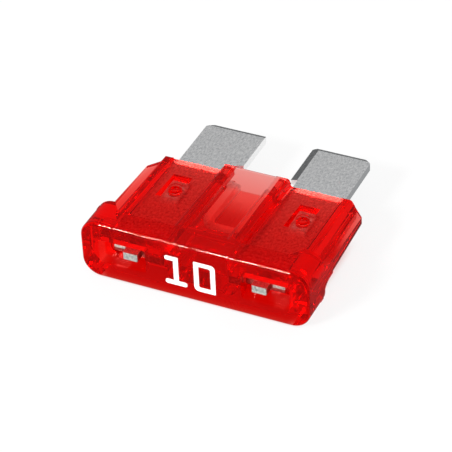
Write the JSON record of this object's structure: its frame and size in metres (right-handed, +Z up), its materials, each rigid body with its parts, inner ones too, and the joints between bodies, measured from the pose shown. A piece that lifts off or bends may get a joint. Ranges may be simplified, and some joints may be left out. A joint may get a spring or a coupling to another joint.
{
  "type": "blade fuse",
  "caption": "Automotive blade fuse of the regular size: a translucent red moulded housing over a stamped strip with flat blades, test tabs and a U-shaped fusible link.",
  "frame": {"origin": "bottom centre of the whole fuse's box, with the fuse lying on one broad side", "axes": "+X across the two blades, +Y from the end face to the blade tips, +Z up through the thickness"},
  "size_m": [0.019, 0.0184, 0.0051],
  "materials": {
    "housing_plastic": "clear gloss",
    "zinc_strip": "satin"
  },
  "bodies": {
    "root": {"housing": "housing_plastic", "fuse_element": "zinc_strip"}
  },
  "joints": []
}
